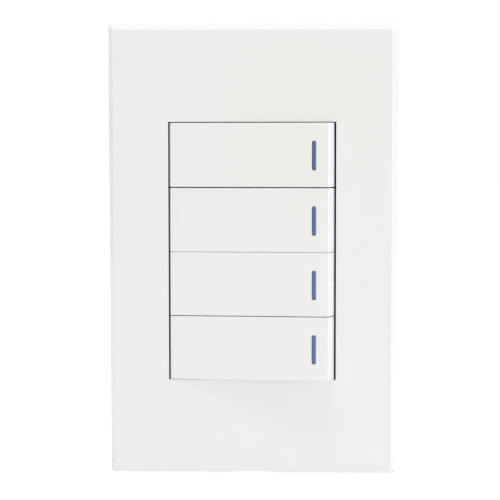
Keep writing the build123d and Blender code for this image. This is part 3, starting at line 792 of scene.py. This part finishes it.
def make_finishes():
    """Every finish by its name."""
    tones = bpy.context.scene.switch_finish
    for kind, sharp in (("sharp", True), ("round", False)):
        make_skin_group(kind + "_moulding", sharp)
        make_metal_group(kind + "_metal", sharp)
    make_wear_group()
    make_dust_group()
    rocker_tone = shade(tones.white, ROCKER_LIFT)[:3]
    even = (1, 1, 1)
    strip = (0.05, 1, 1)
    return {
        "cover_white": make_white("cover_white", tones.white, COVER_REFLECTION_SPOT),
        "rocker_white": make_white("rocker_white", rocker_tone, ROCKER_WARM_SPOT),
        "frame": moulded("frame_plastic", tones.frame_white, (0.45, 0.6), grain=3000, depth=0.00001),
        "deck": moulded("deck_plastic", tones.deck_grey, (0.4, 0.55), 3000, 0.00001, contrast=0.12),
        "base": moulded("base_plastic", tones.base_grey, (0.42, 0.6), 2600, 0.000014, contrast=0.06),
        "carrier": moulded("carrier_plastic", tones.carrier_grey, (0.35, 0.5), contrast=0.06),
        "plunger": moulded("plunger_plastic", (0.04, 0.04, 0.045), (0.25, 0.4), contrast=0.1),
        "strap": metal("zinc_steel", tones.zinc, (0.3, 0.46), tarnish=(0.48, 0.47, 0.44)),
        "screw": metal("screw_steel", (0.56, 0.55, 0.52), (0.22, 0.38), even, 3000.0,
                       skin_group="round_metal"),
        "spring": metal("spring_steel", (0.42, 0.43, 0.45), (0.2, 0.35), even),
        "brass": metal("brass", (0.66, 0.46, 0.16), (0.2, 0.4), strip, tarnish=(0.3, 0.18, 0.07)),
        "copper": metal("copper", (0.72, 0.34, 0.18), (0.2, 0.38), strip, tarnish=(0.3, 0.12, 0.06)),
        "silver": metal("silver", (0.78, 0.77, 0.74), (0.12, 0.28), even),
        "board": make_board_green("circuit_board"),
    }


FINISHES = {}
CAD_FINISHES = {
    "cover_plate": "cover_white", "inner_frame": "frame", "plate_screws": "screw", "mounting_strap": "strap",
    "pivot_deck": "deck", "switch_base": "base", "terminal_screws": "screw", "rocker": "rocker_white",
    "indicator_lens": "rocker_white", "rocker_carrier": "carrier", "plunger_spring": "spring",
    "plunger": "plunger", "contact_lever": "copper", "moving_contact": "silver", "fixed_contact": "silver",
    "common_terminal": "brass", "load_terminal": "brass", "lamp_board": "board",
}


class SWITCH_OT_finishes(bpy.types.Operator):
    """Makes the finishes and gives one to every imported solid"""

    bl_idname = "light_switch.finishes"
    bl_label = "Finish the packed solids"

    def execute(self, context):
        FINISHES.update(make_finishes())
        for name, node in frame["nodes"].items():
            kind = name.rsplit("_", 1)[0] if name[-1].isdigit() else name
            node.data.materials.clear()
            node.data.materials.append(FINISHES[CAD_FINISHES[kind]])
        return {"FINISHED"}


def drafted_box(name, inset, low_y, high_y, settings):
    """A box whose outline narrows towards the face, with rounded upright corners."""
    slope = settings.draft / (COVER_BOX[1].y - COVER_BOX[0].y)
    back, front = (inset + slope * (COVER_BOX[1].y - y) for y in (high_y, low_y))
    half_x, half_z = COVER_BOX[1].x - back, COVER_BOX[1].z - back
    piece = block(name, (-half_x, low_y, -half_z), (half_x, high_y, half_z))
    pick(piece, "FACE", lambda face: face.normal.y < -FACING)
    lean = front - back
    resize((1 - lean / half_x, 1, 1 - lean / half_z), (0, low_y, 0))
    done_editing()
    pick(piece, "EDGE", lambda edge: all(v.co.y < low_y + NEAR and v.co.z < 0 for v in edge.verts))
    bpy.ops.transform.translate(value=(0, 0, -settings.low_edge))
    done_editing()
    half_depth = (high_y - low_y) / 2
    round_edges(piece, settings.corner, 5,
                lambda edge: abs(edge.verts[0].co.y - edge.verts[1].co.y) > half_depth)
    return piece


def end_gap(settings):
    """The gap between the opening's side and a rocker's turned end."""
    radius = bpy.context.scene.switch_rocker.end_radius
    return settings.opening_width / 2 - math.sqrt(radius**2 - COVER_BOX[0].y ** 2)


def opening_cutter(settings):
    """The cutter for the rocker opening, wider behind to clear the turned ends of the rockers."""
    half_x, half_z = settings.opening_width / 2, settings.opening_height / 2
    face, rise = COVER_BOX[0].y, settings.opening_rise
    piece = block("opening_cutter", (-half_x, face - PAST, rise - half_z), (half_x, face, rise + half_z))
    behind = face + settings.wall
    swept = bpy.context.scene.switch_rocker.end_radius + end_gap(settings)
    flare = math.sqrt(swept**2 - behind**2)
    for depth in (behind, PAST):
        pick(piece, "FACE", lambda found: found.normal.y > FACING)
        back = next(f for f in bmesh.from_edit_mesh(piece.data).faces if f.select)
        place, reach = back.calc_center_median().y, max(abs(v.co.x) for v in back.verts)
        extrude((0, depth - place, 0))
        resize((flare / reach, 1, 1), (0, depth, 0))
        done_editing()
    return piece


def make_snap_ribs(settings):
    """The four small ribs inside the cover that hook on to the inner frame."""
    reach = COVER_BOX[1].x - settings.wall * RIB_STOP
    ribs = []
    for side in (-1, 1):
        for row in (-RIB_ROW, RIB_ROW):
            ends = sorted((side * RIB_INNER, side * reach))
            rib = block("snap_rib", (ends[0], RIB_FRONT, row - RIB_HALF), (ends[1], RIB_BACK, row + RIB_HALF))
            round_edges(rib, RIB_CHAMFER, 1, lambda edge: along(edge, 2)
                        and edge.verts[0].co.x * side < RIB_INNER + NEAR
                        and edge.verts[0].co.y > RIB_BACK - NEAR)
            ribs.append(rib)
    return joined("snap_ribs", ribs)


class SWITCH_OT_cover(bpy.types.Operator):
    """Models the cover plate with its drafted sides, rounded edges, opening, skirt and snap ribs"""

    bl_idname = "light_switch.cover"
    bl_label = "Cover plate"

    def execute(self, context):
        settings = context.scene.switch_cover
        face, rim = COVER_BOX[0].y, COVER_BOX[1].y
        cover = drafted_box("cover", 0, face, rim, settings)
        round_edges(cover, settings.edge, 5, before(face))
        cavity = drafted_box("cavity", settings.wall, face + settings.wall, rim + CAVITY_PAST, settings)
        room_x = context.scene.switch_rocker.end_radius + end_gap(settings)
        room_z = settings.opening_height / 2 + ROOM_ABOVE
        skirt_x, skirt_z = room_x + settings.skirt_wall, room_z + settings.skirt_wall
        skirt = block("skirt", (-skirt_x, face, -skirt_z), (skirt_x, -settings.skirt_depth, skirt_z))
        combine(cavity, skirt)
        combine(cover, cavity)
        combine(cover, opening_cutter(settings))
        combine(cover, block("skirt_room", (-room_x, face + settings.wall, -room_z), (room_x, PAST, room_z)))
        combine(cover, make_snap_ribs(settings), "UNION")
        half, low = settings.notch_width / 2, COVER_BOX[0].z
        notch = block("notch", (-half, -settings.notch_height, low - PAST), (half, PAST, low + 2 * PAST))
        combine(cover, notch)
        clean(cover)
        half_x = settings.opening_width / 2 + 10 * NEAR
        half_z = settings.opening_height / 2 + settings.opening_rise + 10 * NEAR
        round_edges(cover, settings.opening_edge, 2, lambda edge: before(face)(edge) and all(
            abs(v.co.x) < half_x and abs(v.co.z) < half_z for v in edge.verts))
        finish_mesh(cover)
        dress(cover, FINISHES["cover_white"], "white_plastic", "switch_body", "cover_plate")
        return {"FINISHED"}


def make_hooks(settings):
    """The two hooks inside a cap, whose lips reach under the carrier's plate."""
    ceiling, tip = settings.wall - settings.face_rise, settings.skirt - settings.face_rise - OVERLAP
    half, inner = settings.hook_length / 2, settings.hook_reach
    hooks = []
    for side in (-1, 1):
        ends = sorted((side * inner, side * (inner + settings.hook_wall)))
        hook = block("hook", (ends[0], ceiling - 2 * OVERLAP, -half), (ends[1], tip, half))
        ends = sorted((side * (inner - settings.hook_lip), side * (inner + OVERLAP)))
        lip = block("lip", (ends[0], ceiling + LIP_START, -half), (ends[1], tip, half))
        pick(lip, "EDGE", lambda edge: along(edge, 2) and edge.verts[0].co.y > tip - NEAR
             and abs(edge.verts[0].co.x) < inner)
        bpy.ops.transform.translate(value=(side * settings.hook_lip, 0, 0))
        done_editing()
        hooks.append(combine(hook, lip, "UNION"))
    return joined("hooks", hooks)


def stadium(name, lens, margin, low_y, high_y):
    """An upright bar with round ends, where the lens goes in a rocker."""
    half_x, half_z = lens.width / 2 + margin, lens.height / 2 + margin
    piece = block(
        name, (lens.reach - half_x, low_y, -lens.drop - half_z),
        (lens.reach + half_x, high_y, -lens.drop + half_z)
    )
    round_edges(piece, half_x * NEARLY, 8, lambda edge: along(edge, 1))
    return piece


def make_cap(settings, lens):
    """One rocker cap about a pivot at the origin, flush with the wall."""
    half, face = settings.height / 2, -settings.face_rise
    cap = rod("rocker_cap", settings.end_radius, (0, 0, -half), (0, 0, half), "Z", 96)
    for depth, side in ((face, -1), (face + settings.skirt, 1)):
        edit_all(cap)
        bpy.ops.mesh.bisect(
            plane_co=(0, depth, 0), plane_no=(0, side, 0), use_fill=True, clear_outer=True, threshold=NEAR
        )
        done_editing()
    clean(cap)
    pick(cap, "FACE", lambda found: found.normal.y > FACING)
    bpy.ops.mesh.inset(thickness=CAP_RIM, use_even_offset=True)
    extrude((0, settings.wall - settings.skirt, 0))
    resize((CAP_TAPER, 1, 1), (0, 0, 0))
    done_editing()
    round_edges(cap, settings.end_edge, 6, lambda edge: before(face)(edge) and along(edge, 2))
    round_edges(cap, settings.edge, 4, lambda edge: all(abs(abs(v.co.z) - half) < NEAR for v in edge.verts)
                and not along(edge, 2) and all(f.normal.y < FACING for f in edge.link_faces))
    combine(cap, make_hooks(settings), "UNION")
    combine(cap, stadium("lens_slot", lens, 0, face - PAST / 2, face + SLOT_DEPTH))
    return cap


def placed(piece, gang):
    """Turns a piece of a rocker to rest and sets it in its gang."""
    piece.rotation_euler = (0, 0, -bpy.context.scene.switch_rocker.swing)
    piece.location = (0, 0, rocker_middle(gang))
    return settle(piece)


class SWITCH_OT_rockers(bpy.types.Operator):
    """Models one rocker cap with its lens slot and sets four of them"""

    bl_idname = "light_switch.rockers"
    bl_label = "Rocker caps"

    def execute(self, context):
        first = make_cap(context.scene.switch_rocker, context.scene.switch_lens)
        for gang in GANGS:
            cap = finish_mesh(placed(copy_of(first, f"rocker_cap_{gang}"), gang))
            dress(cap, FINISHES["rocker_white"], "white_plastic", f"rocker_body_{gang}", f"rocker_{gang}")
        remove(first)
        return {"FINISHED"}


class SWITCH_OT_lenses(bpy.types.Operator):
    """Models one indicator lens with its domed face and flange and sets four of them"""

    bl_idname = "light_switch.lenses"
    bl_label = "Indicator lenses"

    def execute(self, context):
        lens, rocker = context.scene.switch_lens, context.scene.switch_rocker
        face = -rocker.face_rise
        behind = face + rocker.wall
        first = stadium("lens", lens, 0, face, behind + OVERLAP)
        round_edges(first, lens.dome, 5, before(face))
        combine(first, stadium("lens_flange", lens, FLANGE, behind, behind + FLANGE_DEPTH), "UNION")
        middle = Matrix.Rotation(-rocker.swing, 3, "Z") @ Vector((lens.reach, face, 0))
        for gang in GANGS:
            piece = finish_mesh(placed(copy_of(first, f"indicator_{gang}"), gang))
            centre = (middle.x, middle.y, rocker_middle(gang) - lens.drop)
            # The top lens gets painted shade
            factor = TOP_LENS_SHADE if gang == 1 else 1.0
            blue = make_lens_blue(f"lens_blue_{gang}", centre, lens, factor)
            dress(piece, blue, "blue_lens", f"rocker_body_{gang}", f"indicator_lens_{gang}")
        remove(first)
        return {"FINISHED"}


def ridged_rod(name, radius, low, high, axis):
    """A rod with a thread's ridges, made by extruding and scaling its end again and again."""
    low, high = Vector(low), Vector(high)
    run = high - low
    turns = int(run.length / THREAD_PITCH)
    step = run / (2 * turns)
    place = low + step * 0.5
    thin = 1 - THREAD_DEPTH
    piece = rod(name, radius * thin, low, place, axis, 24)
    direction = run.normalized()
    pick(piece, "FACE", lambda face: face.normal.dot(direction) > FACING)
    for i in range(2 * turns - 1):
        place = place + step
        grow = 1 / thin if i % 2 == 0 else thin
        extrude(step)
        resize((grow, grow, grow), place)
    done_editing()
    return piece


def clamp_screw_depth():
    """The depth of the clamp screws' axes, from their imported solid's box."""
    return sum(corner.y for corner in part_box("terminal_screws")) / 2


def make_clamp_screw(settings):
    """One clamp screw on the right of the middle row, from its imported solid's box."""
    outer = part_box("terminal_screws")[1].x
    inner, depth = outer - settings.head_height, clamp_screw_depth()
    head = rod("clamp_screw", settings.head_radius, (inner, depth, 0), (outer, depth, 0), "X")
    round_edges(head, HEAD_ROUNDING, 3, lambda edge: all(v.co.x > outer - NEAR for v in edge.verts))
    half = settings.slot_width / 2
    combine(head, block(
        "slot", (outer - settings.slot_depth, depth - half, -2 * PAST),
        (outer + PAST / 2, depth + half, 2 * PAST)
    ))
    start, tip = (inner + OVERLAP, depth, 0), (inner - CLAMP_SHANK, depth, 0)
    return joined("clamp_screw", [head, ridged_rod("shank", settings.shank_radius, start, tip, "X")])


def make_plate_screw(settings):
    """One screw of the inner frame, at the top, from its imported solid's box."""
    low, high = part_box("plate_screws")
    height = high.z - settings.plate_head_radius
    face = low.y
    seat = face + settings.plate_head_height
    head = rod("plate_screw", settings.plate_head_radius, (0, face, height), (0, seat, height), "Y")
    round_edges(head, settings.plate_head_height / 2, 5, before(face))
    half, past = settings.slot_width / 2, PAST / 2
    for x, z in ((CROSS_ARM, half), (half, CROSS_ARM)):
        combine(head, block("cross", (-x, face - past, height - z), (x, face + past, height + z)))
    start, tip = (0, seat - OVERLAP, height), (0, high.y, height)
    return joined("plate_screw", [head, ridged_rod("shank", settings.plate_shank_radius, start, tip, "Y")])


class SWITCH_OT_screws(bpy.types.Operator):
    """Models the slotted clamp screws and the two cross-head plate screws"""

    bl_idname = "light_switch.screws"
    bl_label = "Screws"

    def execute(self, context):
        settings = context.scene.switch_screw
        first = make_clamp_screw(settings)
        screws = []
        for gang in GANGS:
            for turn in (0, math.pi):
                screw = copy_of(first, "clamp_screw_copy")
                screw.location = (0, 2 * clamp_screw_depth() if turn else 0, pivot_height(gang))
                screw.rotation_euler = (0, 0, turn)
                screws.append(settle(screw))
        remove(first)
        clamp_screws = finish_mesh(joined("clamp_screws", screws))
        dress(clamp_screws, FINISHES["screw"], "screw_steel", "switch_body", "terminal_screws")
        top = make_plate_screw(settings)
        bottom = copy_of(top, "plate_screw_bottom")
        bottom.location = (0, 0, 2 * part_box("plate_screws")[0].z + 2 * settings.plate_head_radius)
        settle(bottom)
        plate_screws = finish_mesh(joined("cover_screws", [top, bottom]))
        dress(plate_screws, FINISHES["screw"], "screw_steel", "switch_body", "plate_screws")
        return {"FINISHED"}


def aim(yaw, pitch, roll):
    """The turn of a camera that looks along +Y, from its yaw, pitch and roll."""
    forward = Vector((math.sin(yaw) * math.cos(pitch), math.cos(yaw) * math.cos(pitch), math.sin(pitch)))
    right = Vector((math.cos(yaw), -math.sin(yaw), 0))
    up = right.cross(forward)
    rolled_right = math.cos(roll) * right + math.sin(roll) * up
    rolled_up = math.cos(roll) * up - math.sin(roll) * right
    return Matrix((rolled_right, rolled_up, -forward)).transposed()


def lamp(name, power, place, target, size):
    """A soft rectangular lamp that looks at a point."""
    deselect_all()
    bpy.ops.object.light_add(type="AREA", location=place)
    piece = named(name)
    piece.data.shape = "RECTANGLE"
    piece.data.size, piece.data.size_y = size
    piece.data.energy = power
    piece.rotation_euler = (Vector(target) - Vector(place)).to_track_quat("-Z", "Y").to_euler()


def seen_directly(tree):
    """One where a camera, glossy or transmission ray looks, and nothing elsewhere."""
    path = tree.nodes.new("ShaderNodeLightPath").outputs
    either = math_node(tree, "MAXIMUM", path["Is Camera Ray"], path["Is Glossy Ray"])
    return math_node(tree, "MAXIMUM", either, path["Is Transmission Ray"])


def make_world(ambient, tilt):
    """Soft light from all round, a little stronger from the right, in front of a white background."""
    world = bpy.data.worlds.new("studio")
    bpy.context.scene.world = world
    world.use_nodes = True
    tree = world.node_tree
    tree.nodes.clear()
    across = axes(tree, add(tree, "ShaderNodeTexCoord").outputs["Generated"])["X"]
    strength = math_node(tree, "ADD", times(tree, across, tilt), ambient)
    light, white = (
        add(tree, "ShaderNodeBackground", {"Color": PURE_WHITE, "Strength": level}).outputs[0]
        for level in (strength, 1.0)
    )
    mix = add(tree, "ShaderNodeMixShader", {0: seen_directly(tree), 1: light, 2: white}).outputs[0]
    add(tree, "ShaderNodeOutputWorld", {"Surface": mix})


def make_floor_white(tint):
    """A pale floor that keeps the object's shadow and runs into the white background."""
    material, tree, both = new_material("floor_white", "ShaderNodeAddShader")
    matt = add(tree, "ShaderNodeBsdfDiffuse", {"Color": (*tint, 1)}).outputs[0]
    seen = times(tree, seen_directly(tree), FLOOR_LIFT)
    camera = tree.nodes.new("ShaderNodeLightPath").outputs["Is Camera Ray"]
    lift = math_node(tree, "ADD", seen, times(tree, camera, FLOOR_CAMERA_LIFT))
    glow = add(tree, "ShaderNodeEmission", {"Color": PURE_WHITE, "Strength": lift}).outputs[0]
    set_inputs(tree, both, {0: matt, 1: glow})
    return material


class SWITCH_OT_stage(bpy.types.Operator):
    """Sets the floor, the lamps, the white background and the camera"""

    bl_idname = "light_switch.stage"
    bl_label = "Stage"

    def execute(self, context):
        settings = context.scene.switch_stage
        deselect_all()
        bpy.ops.mesh.primitive_plane_add(size=FLOOR_SIZE, location=(0, 0, CAD_BOX[0].z))
        floor = settle(named("floor"))
        floor.data.materials.append(make_floor_white(settings.floor_tint))
        make_world(settings.ambient, settings.tilt)
        lamp("top_lamp", settings.top_power, **TOP_LAMP)
        lamp("side_lamp", settings.side_power, **SIDE_LAMP)
        deselect_all()
        bpy.ops.object.camera_add(location=settings.eye)
        camera = named("camera")
        camera.rotation_euler = aim(settings.yaw, settings.pitch, settings.roll).to_euler()
        camera.data.sensor_width = SENSOR_WIDTH
        camera.data.lens = settings.lens
        camera.data.clip_start, camera.data.clip_end = CLIP_RANGE
        context.scene.camera = camera
        context.scene.view_settings.view_transform = "Standard"
        return {"FINISHED"}


class SWITCH_PT_pieces(bpy.types.Panel):
    """Lists the steps that build the switch, and their sizes"""

    bl_idname = "SWITCH_PT_pieces"
    bl_label = "Light switch"
    bl_space_type = "VIEW_3D"
    bl_region_type = "UI"
    bl_category = "Light switch"

    def draw(self, context):
        for operator, group, _ in STEPS:
            self.layout.operator(operator.bl_idname)
            values = getattr(context.scene, group)
            column = self.layout.column(align=True)
            for name in values.bl_rna.properties.keys():
                if name not in ("rna_type", "name"):
                    column.prop(values, name)


STEPS = (
    (SWITCH_OT_finishes, "switch_finish", FinishSettings),
    (SWITCH_OT_cover, "switch_cover", CoverSettings),
    (SWITCH_OT_rockers, "switch_rocker", RockerSettings),
    (SWITCH_OT_lenses, "switch_lens", LensSettings),
    (SWITCH_OT_screws, "switch_screw", ScrewSettings),
    (SWITCH_OT_stage, "switch_stage", StageSettings),
)


def register():
    """Adds the settings, the operators and the panel."""
    for operator, group, settings in STEPS:
        bpy.utils.register_class(settings)
        setattr(bpy.types.Scene, group, bpy.props.PointerProperty(type=settings))
        bpy.utils.register_class(operator)
    bpy.utils.register_class(SWITCH_PT_pieces)


def unregister():
    """Takes them out again."""
    bpy.utils.unregister_class(SWITCH_PT_pieces)
    for operator, group, settings in reversed(STEPS):
        bpy.utils.unregister_class(operator)
        delattr(bpy.types.Scene, group)
        bpy.utils.unregister_class(settings)


def main():
    """Builds the switch and its stage."""
    register()
    for operator, _, _ in STEPS:
        group, name = operator.bl_idname.split(".")
        getattr(getattr(bpy.ops, group), name)()


if __name__ == "__main__":
    main()
